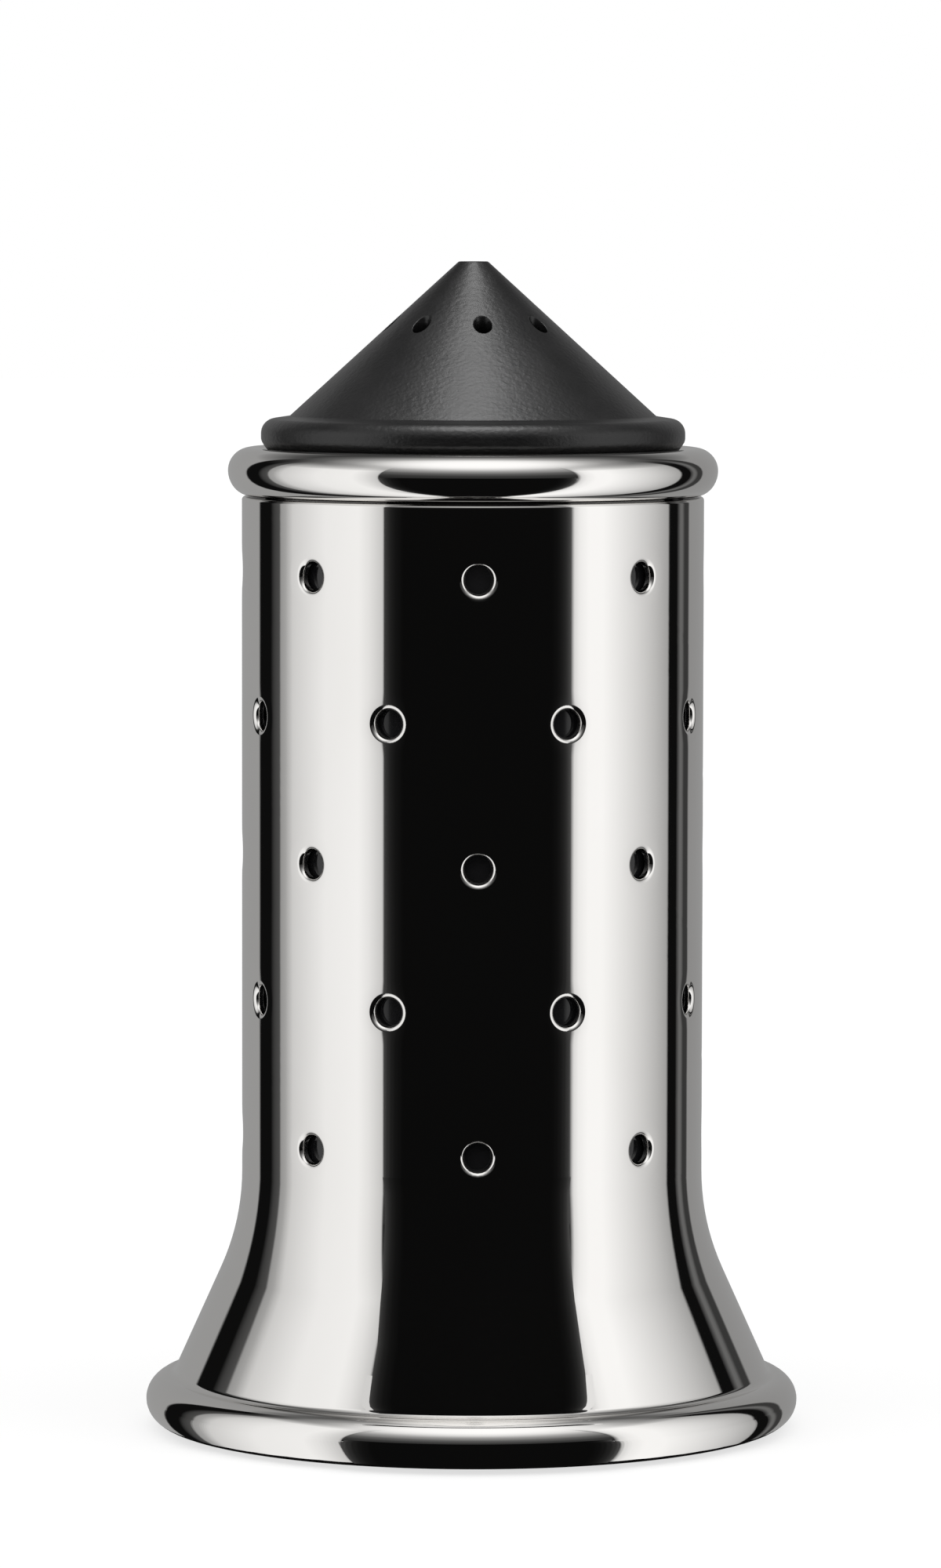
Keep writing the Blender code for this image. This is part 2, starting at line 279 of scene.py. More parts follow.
def grooveShadeMask(tree):
    # 1 in the groove under the top bead, where painted shade darkens the steel's colour
    where = tree.nodes.new("ShaderNodeTexCoord")
    split = tree.nodes.new("ShaderNodeSeparateXYZ")
    tree.links.new(where.outputs["Object"], split.inputs["Vector"])
    off = tree.nodes.new("ShaderNodeMath")
    off.operation = "SUBTRACT"
    off.inputs[1].default_value = grooveShade["height"] * mm
    tree.links.new(split.outputs["Z"], off.inputs[0])
    away = tree.nodes.new("ShaderNodeMath")
    away.operation = "ABSOLUTE"
    tree.links.new(off.outputs[0], away.inputs[0])
    half, fade = grooveShade["half"] * mm, grooveShade["fade"] * mm
    return ranged(tree, away.outputs[0], 1.0, 0.0, half, half + fade)


def polishedSteel():
    material, tree, shader = newFinish("polishedSteel", (0.8, 0.787, 0.768), 0.03, metallic=1.0)
    smudges = noise(tree, (70, 70, 45), detail=4, distortion=0.6)
    tree.links.new(ranged(tree, smudges, low=0.02, high=0.04), shader.inputs["Roughness"])
    # the smudge tones, darkened by painted shade in the groove under the top bead
    toneAndGrooveShade = tree.nodes.new("ShaderNodeMix")
    toneAndGrooveShade.data_type = "RGBA"
    blended(tree, smudges, (0.788, 0.775, 0.755), (0.815, 0.802, 0.785), toneAndGrooveShade.inputs["A"])
    toneAndGrooveShade.inputs["B"].default_value = (*grooveShade["colour"], 1)
    tree.links.new(grooveShadeMask(tree), toneAndGrooveShade.inputs["Factor"])
    tree.links.new(toneAndGrooveShade.outputs["Result"], shader.inputs["Base Color"])
    polishLines = noise(tree, (160, 160, 5200), detail=3)  # left round the body by the polishing wheel
    bumped(tree, polishLines, 1.2e-7, shader)
    return material


def mouldedBlack():
    material, tree, shader = newFinish("mouldedBlack", (0.008, 0.008, 0.008), 0.36)
    clouds = noise(tree, (260, 260, 260), detail=5)
    blended(tree, clouds, (0.0065, 0.0065, 0.0066), (0.0098, 0.0095, 0.0097), shader.inputs["Base Color"])
    tree.links.new(ranged(tree, clouds, low=0.33, high=0.39), shader.inputs["Roughness"])
    grain = noise(tree, (2400, 2400, 3600), detail=5)
    bumped(tree, grain, 1.1e-4, shader, strength=0.35)
    return material


def glossBlack():
    material, tree, shader = newFinish("glossBlack", (0.012, 0.012, 0.013), 0.08)
    swirl = noise(tree, (180, 180, 60), detail=3, distortion=0.4)
    tree.links.new(ranged(tree, swirl, low=0.06, high=0.1), shader.inputs["Roughness"])
    blended(tree, swirl, (0.010, 0.010, 0.011), (0.014, 0.014, 0.015), shader.inputs["Base Color"])
    ripple = noise(tree, (900, 900, 300))
    bumped(tree, ripple, 6e-7, shader)
    return material


def baseBlack():
    material, tree, shader = newFinish("baseBlack", (0.025, 0.025, 0.026), 0.45)
    clouds = noise(tree, (300, 300, 300), detail=4)
    blended(tree, clouds, (0.021, 0.021, 0.022), (0.029, 0.029, 0.03), shader.inputs["Base Color"])
    tree.links.new(ranged(tree, clouds, low=0.4, high=0.55), shader.inputs["Roughness"])
    grain = noise(tree, (3800, 3800, 3800), detail=3)
    bumped(tree, grain, 3e-5, shader, strength=0.35)
    return material


def blackRubber():
    material, tree, shader = newFinish("blackRubber", (0.02, 0.02, 0.02), 0.75)
    dust = noise(tree, (700, 700, 700), detail=6)
    blended(tree, dust, (0.016, 0.016, 0.016), (0.03, 0.03, 0.029), shader.inputs["Base Color"])
    tree.links.new(ranged(tree, dust, low=0.68, high=0.85), shader.inputs["Roughness"])
    grain = noise(tree, (6500, 6500, 6500))
    bumped(tree, grain, 2e-5, shader, strength=0.4)
    return material


def greySilicone():
    material, tree, shader = newFinish("greySilicone", (0.5, 0.5, 0.49), 0.6)
    haze = noise(tree, (500, 500, 500), detail=4)
    blended(tree, haze, (0.47, 0.47, 0.46), (0.53, 0.53, 0.52), shader.inputs["Base Color"])
    tree.links.new(ranged(tree, haze, low=0.5, high=0.65), shader.inputs["Roughness"])
    grain = noise(tree, (3000, 3000, 3000))
    bumped(tree, grain, 8e-6, shader, strength=0.4)
    return material


# Steel shell: one sheet, rolled over at the mouth, pierced, flared, and curled in under the foot
shell = {
    "sheet": 0.8,
    "endSteps": 6,  # round the edge of the sheet
    "bodyRadius": 18.75,
    "topBead": 1.85,
    "topProud": 1.13,
    "lipEnd": 225,  # degrees round the bead, inside the mouth
    "crease": 0.4,  # fillet under the bead, on the inner face
    "topSag": 1.11,  # the lower half of the top bead is this much taller than round
    "groove": 0.45,  # depth of the rolled groove under the top bead
    "grooveHeight": 0.05,
    "grooveRound": 0.02,
    "grooveFall": 0.03,  # drop from the bottom of the groove out to the wall
    "wallEdge": 0.3,  # rounding of the wall under the groove
    "flareTop": 16.8,
    "flareBlend": 20.0,  # radius of the bend from the wall into the flare
    "flareLanding": 96,  # degrees round the base bead, where the flare meets it
    "baseBead": 2.0,
    "footFillet": 0.7,
    "curlEnd": -215,  # degrees round the base bead, under the foot
}
holes = {
    "radius": 1.12,
    "roll": 0.45,  # rounding of the lip
    "dish": 2.6,  # the sheet dips a little inside this radius
    "dishDepth": 0.012,
    "dishSteps": 4,
    "innerRoll": 0.08,
    "around": 8,
    "rows": 5,
    "topDrop": 9.9,
    "lowRise": 7.4,
    "sideSteps": 10,
    "between": (0.3, 0.6, 0.85),  # loops between the rim of a cell and its dish
}


def towards(start, end):
    way = end - start
    return math.degrees(math.atan2(way.y, way.x))


def mouth():
    # the rolled bead down to the wall: its outer face with the groove, and the plain run for the inner face
    s = shell
    body, bead, crease = s["bodyRadius"], s["topBead"], s["crease"]
    top = Vector((body + s["topProud"] - bead, size("steel_shell")[1].z - bead))
    reach = body + crease - top.x
    creaseAt = top + Vector((reach, -math.sqrt((bead + crease) ** 2 - reach**2)))
    creaseAngle = towards(top, creaseAt)
    plain = bend(top, bead, s["lipEnd"], creaseAngle)
    plain += bend(creaseAt, crease, creaseAngle + 180, 180, hollow=True)[1:]
    bottom = body - s["groove"]
    endAngle = -math.acos((bottom + s["grooveRound"] - top.x) / bead)
    sagged = []
    for r, z, nr, nz in bend(top, bead, s["lipEnd"], math.degrees(endAngle)):
        if z < top.y and r > top.x:
            z = top.y + (z - top.y) * s["topSag"]
            nr, nz = Vector((nr, nz / s["topSag"])).normalized()
        sagged.append((r, z, nr, nz))
    end = Vector(sagged[-1][:2])
    grooveTop = end.y - (end.x - bottom) * sagged[-1][2] / -sagged[-1][3]
    grooveLow = grooveTop - s["grooveHeight"]
    edge = grooveLow - s["grooveFall"]
    wallTop = edge - s["wallEdge"]
    corners = [
        (*end, 0),
        (bottom, grooveTop, s["grooveRound"]),
        (bottom, grooveLow, s["grooveRound"]),
        (body, edge, s["wallEdge"]),
        (body, wallTop, 0),
    ]
    grooved = sagged[:-1] + rounded(corners, step=12)
    return grooved, plain + [(body, wallTop, 1.0, 0.0)]


def foot():
    s = shell
    body, bead, fillet, blend = s["bodyRadius"], s["baseBead"], s["footFillet"], s["flareBlend"]
    low, high = size("steel_shell")
    base = Vector((high.x - bead, low.z + bead))
    landingAngle = math.radians(s["flareLanding"])
    landing = base + bead * Vector((math.cos(landingAngle), math.sin(landingAngle)))
    lean = math.atan2(landing.x - body, s["flareTop"] - landing.y)
    blendAt = Vector((body + blend, s["flareTop"] + blend * math.tan(lean / 2)))
    along = Vector((math.sin(lean), -math.cos(lean)))
    outward = Vector((math.cos(lean), math.sin(lean)))
    # the foot fillet touches the slope of the flare and, from outside, the base bead
    spoke = landing - base
    back = spoke.dot(along)
    back += math.sqrt(back**2 + 2 * fillet * (bead - spoke.dot(outward)))
    filletAt = landing + fillet * outward - back * along
    leanEnd = 180 + math.degrees(lean)
    stations = bend(blendAt, blend, 180, leanEnd, hollow=True, step=2.5)
    stations += bend(filletAt, fillet, leanEnd, towards(filletAt, base) % 360, hollow=True)
    return stations + bend(base, bead, towards(base, filletAt), s["curlEnd"])[1:]


def inside(stations):
    sheet = shell["sheet"]
    return [(r - nr * sheet, z - nz * sheet, -nr, -nz) for r, z, nr, nz in reversed(stations)]


def sheetEnd(station, onward):
    # half round from the outer to the inner face of the sheet
    r, z, nr, nz = station
    half, steps = shell["sheet"] / 2, shell["endSteps"]
    middle = Vector((r - nr * half, z - nz * half))
    stations = []
    for i in range(1, steps):
        a = math.pi * i / steps
        n = Vector((nr, nz)) * math.cos(a) + Vector((nz, -nr)) * math.sin(a) * onward
        stations.append((*(middle + n * half), *n))
    return stations


def holeSection():
    # from the edge of the dish over the lip, down the bore and onto the inner face: distance, depth, facing
    span = holes["dish"] - holes["radius"] - holes["roll"]
    section = []
    for i in range(holes["dishSteps"] + 1):
        q = i / holes["dishSteps"]
        n = Vector((-2 * holes["dishDepth"] * q / span, 1)).normalized()
        section.append((holes["dish"] - q * span, holes["dishDepth"] * q * q, *n))
    d, depth, nd, nw = section[-1]
    roll, inner, sheet = holes["roll"], holes["innerRoll"], shell["sheet"]
    centre = Vector((d - roll * nd, -depth - roll * nw))
    for d, w, nd, nw in bend(centre, roll, math.degrees(math.atan2(nw, nd)), 180, step=15)[1:]:
        section.append((d, -w, nd, nw))
    bore = section[-1][0]
    for d, w, nd, nw in bend((bore + inner, inner - sheet), inner, 180, 270, step=30):
        section.append((d, -w, nd, nw))
    section.append((holes["dish"], sheet, 0.0, -1.0))
    return section


def cellRim(halfColumns, low, high, steps):
    # once round a cell with a hole in it, in columns from the hole and along the other way
    rim = [(c, high) for c in range(-halfColumns, halfColumns)]
    rim += [(halfColumns, high + (low - high) * i / steps) for i in range(steps)]
    rim += [(c, low) for c in range(halfColumns, -halfColumns, -1)]
    rim += [(-halfColumns, low + (high - low) * i / steps) for i in range(steps)]
    return rim


def holeCell(skin, column, height, low, high, section):
    body, sheet = shell["bodyRadius"], shell["sheet"]
    rim = cellRim(columns // holes["around"] // 2, low, high, holes["sideSteps"])
    perColumn = 2 * math.pi * body / columns
    middle = columnAngle(column)

    def rimRing(depth, way):
        ring = []
        for c, z in rim:
            a = columnAngle(column + c)
            out = Vector((math.cos(a), math.sin(a), 0))
            ring.append(skin.point(out * (body - depth) + Vector((0, 0, z)), out * way))
        return ring

    def wallRing(share, depth, way):
        # on the curve of the wall, by share of the way from the rim to the dish
        ring = []
        for c, z in rim:
            edge = Vector((c * perColumn, z - height))
            flat = edge.lerp(edge.normalized() * holes["dish"], share)
            a = middle + flat.x / body
            out = Vector((math.cos(a), math.sin(a), 0))
            ring.append(skin.point(out * (body - depth) + Vector((0, 0, height + flat.y)), out * way))
        return ring

    def roundRing(d, depth, nd, nw):
        ring = []
        for c, z in rim:
            flat = Vector((c * perColumn, z - height)).normalized()
            a = middle + flat.x * d / body
            out, across = Vector((math.cos(a), math.sin(a), 0)), Vector((-math.sin(a), math.cos(a), 0))
            n = out * nw + (across * flat.x + Vector((0, 0, flat.y))) * nd
            ring.append(skin.point(out * (body - depth) + Vector((0, 0, height + flat.y * d)), n))
        return ring

    outer = [rimRing(0, 1)] + [wallRing(share, 0, 1) for share in holes["between"]]
    inner = [wallRing(share, sheet, -1) for share in reversed(holes["between"])] + [rimRing(sheet, -1)]
    skin.bridge(outer + [roundRing(*s) for s in section] + inner)


def makeShell():
    skin = Skin()
    grooved, plain = mouth()
    lower = foot()
    turned(skin, inside(plain) + sheetEnd(plain[0], -1)[::-1] + grooved)
    turned(skin, lower + sheetEnd(lower[-1], 1) + inside(lower))
    firstRow = size("steel_shell")[1].z - holes["topDrop"]
    lastRow = shell["flareTop"] + holes["lowRise"]
    rows = [firstRow + (lastRow - firstRow) * i / (holes["rows"] - 1) for i in range(holes["rows"])]
    edges = [grooved[-1][1]] + [(a + b) / 2 for a, b in zip(rows, rows[1:])] + [lower[0][1]]
    section = holeSection()
    pitch = columns // holes["around"]
    for i, height in enumerate(rows):
        for k in range(holes["around"]):
            column = frontColumn + k * pitch + (i % 2) * pitch // 2
            holeCell(skin, column, height, edges[i + 1], edges[i], section)
    keep(meshObject("shellSteel", skin), "steel_shell", "body", polishedSteel())


makeShell()


# Screw thread: a ridge that climbs by the lead that the joints of the cap have
thread = {
    "starts": 2,
    "ridge": 0.55,  # height of the ridge, and half its width at the crest and at the foot
    "crest": 0.16,
    "foot": 0.36,
    "rows": 48,
    "fade": 40,  # degrees over which the ridge rises at its ends
    "margin": 0.1,
}
lead = frame["record"]["behaviour"]["couplings"][0]["ratio"] * 2 * math.pi / mm


def threadWall(skin, radius, top, low, outward, shift):
    # the wall with its ridges, from top to low; shift moves the ridge along the lead
    pitch = lead / thread["starts"]
    first, last = low + thread["foot"] + thread["margin"], top - thread["foot"] - thread["margin"]
    fade = lead * thread["fade"] / 360

    def lift(angle, z):
        climb = (z - shift) - lead * angle / (2 * math.pi)
        off = abs((climb + pitch / 2) % pitch - pitch / 2)
        slope = (thread["foot"] - off) / (thread["foot"] - thread["crest"])
        along = min((z - first) / fade, (last - z) / fade)
        return thread["ridge"] * max(0.0, min(1.0, slope)) * max(0.0, min(1.0, along))

    rings = []
    for i in range(thread["rows"] + 1):
        z = top + (low - top) * i / thread["rows"]
        edge = i in (0, thread["rows"])
        ring = []
        for column in range(columns):
            a = columnAngle(column)
            r = radius + (0 if edge else outward * lift(a, z))
            ring.append(skin.point((r * math.cos(a), r * math.sin(a), z)))
        rings.append(ring)
    skin.bridge(rings)


# Salt container: the black tube behind the holes, with its threaded neck
container = {
    "wall": 1.2,
    "neckRadius": 13.78,
    "neckBore": 12.58,
    "neckRound": 0.3,
    "neckFillet": 0.3,
    "neckInnerRound": 0.6,
    "shoulder": 76.492,
    "shoulderRound": 0.6,
    "shoulderWall": 1.2,
    "shoulderSlope": 2.0,
    "slopeRound": 1.0,
    "footRound": 0.2,
    "floorLedge": 8.1,
    "floorSeat": 0.3,
    "ledgeRound": 0.1,
    "threadMargin": 0.35,
}
# Keys on the base plate stop the container turning; it and its floor have a notch for each
keys = {"count": 3, "width": 3.0, "height": 1.6, "reach": 0.55, "sink": 0.3, "gap": 0.3, "plateTop": 2.6}


def keyNotches(inner, outer):
    low, high = keys["plateTop"] - past, keys["plateTop"] + keys["height"] + keys["gap"]
    width = keys["width"] + 2 * keys["gap"]
    return barsAround("notch", keys["count"], inner - past, outer + past, width, low, high)


def makeContainer():
    skin = Skin()
    low, high = size("salt_container")
    c = container
    bore = high.x - c["wall"]
    neckLow, neckHigh = c["shoulder"] + c["threadMargin"], high.z - c["threadMargin"]
    slopeTop = c["shoulder"] - c["shoulderWall"]
    corners = [
        (c["neckRadius"], neckLow, 0),
        (c["neckRadius"], c["shoulder"], c["neckFillet"]),
        (high.x, c["shoulder"], c["shoulderRound"]),
        (high.x, low.z, c["footRound"]),
        (bore + c["floorSeat"], low.z, c["footRound"]),
        (bore + c["floorSeat"], c["floorLedge"], c["ledgeRound"]),
        (bore, c["floorLedge"], c["ledgeRound"]),
        (bore, slopeTop - c["shoulderSlope"], c["slopeRound"]),
        (c["neckBore"], slopeTop, c["neckInnerRound"]),
        (c["neckBore"], high.z, c["neckRound"]),
        (c["neckRadius"], high.z, c["neckRound"]),
        (c["neckRadius"], neckHigh, 0),
    ]
    turned(skin, rounded(corners))
    threadWall(skin, c["neckRadius"], neckHigh, neckLow, 1, c["shoulder"])
    obj = combined(meshObject("saltContainer", skin), ("DIFFERENCE", keyNotches(bore, high.x)))
    keep(obj, "salt_container", "body", glossBlack())


makeContainer()


# Container floor, an upside-down cup pressed in from below
floorCup = {"thickness": 1.4, "rim": 1.1, "edge": 0.25, "cornerRound": 0.5}


def makeContainerFloor():
    skin = Skin()
    low, high = size("container_floor")
    rimBore = high.x - floorCup["rim"]
    under = high.z - floorCup["thickness"]
    corners = [
        (0, high.z, 0),
        (high.x, high.z, floorCup["edge"]),
        (high.x, low.z, floorCup["edge"]),
        (rimBore, low.z, floorCup["edge"]),
        (rimBore, under, floorCup["cornerRound"]),
        (0, under, 0),
    ]
    turned(skin, rounded(corners))
    obj = combined(meshObject("containerFloor", skin), ("DIFFERENCE", keyNotches(rimBore, high.x)))
    keep(obj, "container_floor", "body", glossBlack())


makeContainerFloor()


# Base plate: snaps into the foot, centres the container and holds the non-slip ring
plate = {
    "radius": 22.3,
    "rimWall": 1.1,
    "locatorRadius": 15.05,
    "locatorWall": 1.25,
    "locatorTop": 6.1,
    "hook": 0.6,
    "hookHeight": 1.4,
    "slots": 6,
    "slotWidth": 3.0,
    "slotLift": 0.3,
    "bottom": 1.0,
    "grooveInner": 17.6,
    "grooveOuter": 20.4,
    "grooveTop": 1.9,
    "recess": 14.5,  # the middle of the underside is set back
    "recessDepth": 0.35,
    "edge": 0.2,
    "cornerRound": 0.3,
    "hookRound": 0.1,
    "rimRound": 0.35,
    "grooveRound": 0.15,
}


def makeBasePlate():
    skin = Skin()
    p, top, edge = plate, keys["plateTop"], plate["edge"]
    corner, hook, groove = p["cornerRound"], p["hookRound"], p["grooveRound"]
    high = size("base_plate")[1]
    hookLow = high.z - p["hookHeight"]
    rimIn = p["radius"] - p["rimWall"]
    corners = [
        (0, top, 0),
        (p["locatorRadius"] - p["locatorWall"], top, corner),
        (p["locatorRadius"] - p["locatorWall"], p["locatorTop"], edge),
        (p["locatorRadius"], p["locatorTop"], edge),
        (p["locatorRadius"], top, corner),
        (rimIn, top, corner),
        (rimIn, high.z, edge),
        (p["radius"], high.z, edge),
        (p["radius"] + p["hook"], hookLow, hook),
        (p["radius"], hookLow, hook),
        (p["radius"], p["bottom"], p["rimRound"]),
        (p["grooveOuter"], p["bottom"], groove),
        (p["grooveOuter"], p["grooveTop"], groove),
        (p["grooveInner"], p["grooveTop"], groove),
        (p["grooveInner"], p["bottom"], groove),
        (p["recess"], p["bottom"], groove),
        (p["recess"] - p["recessDepth"], p["bottom"] + p["recessDepth"], corner),
        (0, p["bottom"] + p["recessDepth"], 0),
    ]
    turned(skin, rounded(corners))
    keyOuter = size("salt_container")[1].x + keys["reach"]
    keyInner = p["locatorRadius"] - p["locatorWall"] / 2
    keyLow, keyHigh = top - keys["sink"], top + keys["height"]
    keyBars = barsAround("key", keys["count"], keyInner, keyOuter, keys["width"], keyLow, keyHigh)
    slotIn, slotOut = rimIn - past, p["radius"] + p["hook"] + past
    slotLow, slotHigh = top + p["slotLift"], high.z + past
    slotBars = barsAround("slot", p["slots"], slotIn, slotOut, p["slotWidth"], slotLow, slotHigh)
    obj = combined(meshObject("basePlate", skin), ("UNION", keyBars), ("DIFFERENCE", slotBars))
    keep(obj, "base_plate", "body", baseBlack())


makeBasePlate()


# Non-slip ring in the groove of the base plate
grip = {"width": 2.2, "topRound": 0.2, "footRound": 0.35}


def makeNonSlipRing():
    skin = Skin()
    bore = size("non_slip_ring")[1].x - grip["width"]
    flatRing(skin, "non_slip_ring", bore, grip["topRound"], grip["footRound"])
    keep(meshObject("nonSlipRing", skin), "non_slip_ring", "body", blackRubber())


makeNonSlipRing()


# Cone cap: cone, rim ring and collar, with pour holes straight down through the cone
cap = {
    "turn": 5.1,  # degrees that the closed cap stands off the front
    "tipRadius": 1.18,
    "tipRound": 0.3,
    "coneRadius": 14.88,
    "coneFoot": 82.48,
    "footRound": 0.3,
    "ringShoulder": 82.13,
    "ringRound": 1.2,
    "ringBelow": 80.5,
    "ringTuck": 0.8,
    "ringUndercut": 0.3,
    "ringLow": 80.02,
    "ringEdge": 0.15,
    "seatRadius": 16.5,  # the underside follows the bead that the cap sits on
    "seatLow": 79.5,
    "seatRound": 0.1,
    "wall": 1.5,
    "apexRadius": 1.0,
    "hollowRadius": 12.68,
    "hollowRound": 0.2,
    "land": 81.8,
    "landRound": 0.1,
    "collarRadius": 15.78,
    "collarBore": 14.68,
    "collarFillet": 0.2,
    "collarEdge": 0.25,
    "threadMargin": 0.4,
    "threadTop": 80.6,
}
pours = {
    "count": 8,
    "radius": 0.73,
    "drop": 5.0,  # below the tip
    "reach": 2.05,  # half the width of the band of the cone that the holes are in
    "sideSteps": 8,
    "round": 0.1,
    "roundSteps": 4,
    "wide": 1.8,
}
capTip = size("cone_cap")[1].z
coneSlope = (cap["coneRadius"] - cap["tipRadius"]) / (capTip - cap["coneFoot"])
wallAcross = cap["wall"] * math.hypot(1, coneSlope)
pourCircle = cap["tipRadius"] + pours["drop"] * coneSlope


def coneZ(r):
    return capTip - (r - cap["tipRadius"]) / coneSlope


def hollowZ(r):
    return coneZ(r + wallAcross)


def coneFacing(angle):
    return Vector((math.cos(angle), math.sin(angle), coneSlope)).normalized()


def pourCell(skin, column, halfColumns, bandIn, bandOut):
    middle = columnAngle(column)
    hub = Vector((pourCircle * math.cos(middle), pourCircle * math.sin(middle)))
    radius, lipRound = pours["radius"], pours["round"]
    chains = []
    for c, r in cellRim(halfColumns, bandOut, bandIn, pours["sideSteps"]):
        a = columnAngle(column + c)
        flat = Vector((r * math.cos(a), r * math.sin(a)))
        way = (flat - hub).normalized()
        chain = [skin.point((*flat, coneZ(r)), coneFacing(a))]
        for distance in (radius * pours["wide"], radius + lipRound):
            spot = hub + way * distance
            facing = coneFacing(math.atan2(spot.y, spot.x))
            chain.append(skin.point((*spot, coneZ(spot.length)), facing))
        # the lip turns over from the cone into the bore
        near = Vector((*spot, coneZ(spot.length)))
        lip = hub + way * radius
        corner = Vector((*lip, coneZ(lip.length)))
        below = corner - Vector((0, 0, lipRound))
        for i in range(pours["roundSteps"]):
            t = (i + 1) / pours["roundSteps"]
            p = near * (1 - t) ** 2 + corner * 2 * t * (1 - t) + below * t * t
            chain.append(skin.point(p, (facing * (1 - t) - Vector((*way, 0)) * t).normalized()))
        chain.append(skin.point((*lip, hollowZ(lip.length))))
        chain.append(skin.point((*flat, hollowZ(r)), -coneFacing(a)))
        chains.append(chain)
    skin.bridge([list(ring) for ring in zip(*chains)])


def makeCap():
    skin = Skin()
    low, high = size("cone_cap")
    c = cap
    bandIn, bandOut = pourCircle - pours["reach"], pourCircle + pours["reach"]
    tip = [(0, high.z, 0), (c["tipRadius"], high.z, c["tipRound"]), (bandIn, coneZ(bandIn), 0)]
    skirt = [
        (bandOut, coneZ(bandOut), 0),
        (c["coneRadius"], c["coneFoot"], c["footRound"]),
        (high.x, c["ringShoulder"], c["ringRound"]),
        (high.x, c["ringBelow"], c["ringTuck"]),
        (high.x - c["ringUndercut"], c["ringLow"], c["ringEdge"]),
        (c["seatRadius"], c["seatLow"], c["seatRound"]),
        (c["collarRadius"], c["seatLow"], c["collarFillet"]),
        (c["collarRadius"], low.z, c["collarEdge"]),
        (c["collarBore"], low.z, c["collarEdge"]),
        (c["collarBore"], low.z + c["threadMargin"], 0),
    ]
    hollow = [
        (c["collarBore"], c["threadTop"], 0),
        (c["collarBore"], c["land"], c["landRound"]),
        (c["hollowRadius"], c["land"], c["landRound"]),
        (c["hollowRadius"], hollowZ(c["hollowRadius"]), c["hollowRound"]),
        (bandOut, hollowZ(bandOut), 0),
    ]
    apexZ = hollowZ(c["apexRadius"])
    apex = [(bandIn, hollowZ(bandIn), 0), (c["apexRadius"], apexZ, c["hollowRound"]), (0, apexZ, 0)]
    for stretch in (tip, skirt, hollow, apex):
        turned(skin, rounded(stretch, step=10))
    halfPitch = lead / thread["starts"] / 2
    threadLow = low.z + c["threadMargin"]
    threadWall(skin, c["collarBore"], c["threadTop"], threadLow, -1, container["shoulder"] + halfPitch)
    pitch = columns // pours["count"]
    for k in range(pours["count"]):
        pourCell(skin, frontColumn + k * pitch, pitch // 2, bandIn, bandOut)
    obj = meshObject("coneCap", skin)
    obj.data.transform(Matrix.Rotation(math.radians(c["turn"]), 4, "Z"))
    keep(obj, "cone_cap", "cap", mouldedBlack())


makeCap()


# Seal ring in the cap
seal = {"edge": 0.12}


def makeSeal():
    skin = Skin()
    flatRing(skin, "cap_seal", cap["hollowRadius"], seal["edge"], seal["edge"])
    keep(meshObject("capSeal", skin), "cap_seal", "seal", greySilicone())


makeSeal()


# Camera, in degrees and millimetres
view = {
    "azimuth": -1.45,
    "distance": 620.9,
    "height": 98.7,
    "pitch": 4.251,
    "yaw": 0.015,
    "roll": 0.1,
    "lens": 175.6,
    "sensor": 36,
    "near": 10,
}


def makeCamera():
    data = bpy.data.cameras.new("camera")
    data.sensor_width = view["sensor"]
    data.lens = view["lens"]
    data.clip_start = view["near"] * mm
    camera = bpy.data.objects.new("camera", data)
    a = math.radians(view["azimuth"])
    stand = Vector((math.sin(a), -math.cos(a), 0)) * view["distance"] + Vector((0, 0, view["height"]))
    turn = Matrix.Rotation(a + math.radians(view["yaw"]), 4, "Z")
    tilt = Matrix.Rotation(math.radians(90 - view["pitch"]), 4, "X")
    roll = Matrix.Rotation(math.radians(view["roll"]), 4, "Z")
    camera.matrix_world = Matrix.Translation(stand * mm) @ turn @ tilt @ roll
    bpy.context.scene.collection.objects.link(camera)
    bpy.context.scene.camera = camera
    print("camera placed")


makeCamera()


# Studio: a pale floor, a white surround, soft lamps, and cards that only reflections show
studio = {
    # brightness across the black sheets, by share of the way from the left edge to the right
    "black": [
        (0, 0.063), (0.018, 0.033), (0.039, 0.016), (0.066, 0.008), (0.108, 0.004),
        (0.892, 0.004), (0.92, 0.006), (0.942, 0.01), (0.966, 0.021), (0.983, 0.04), (1, 0.085),
    ],
    "underFoot": 25.3,  # where the cards start on the floor
    "sideLift": 0.02,  # cards that lie on the floor, one above the other
    "shadeLift": 0.025,
    "frontLift": 0.03,
    "cardSteps": 96,
    "sheetSteps": 48,
    "domeRadius": 1500,
    "domeFineness": 5,
    "domeStretch": (1.15, 1.0, 1.0),  # the glow is a little wider than deep
    "glowAzimuth": 4,
    "glowTilt": 20,
    # brightness of the dome by the angle from the middle of its glow, before it is stretched
    "glow": [
        (0, 1.25), (14, 1.2), (20, 1.05), (25, 0.88), (31, 0.58), (36.6, 0.38), (48, 0.14), (59, 0.053),
        (70, 0.028), (90, 0.02),
    ],
}
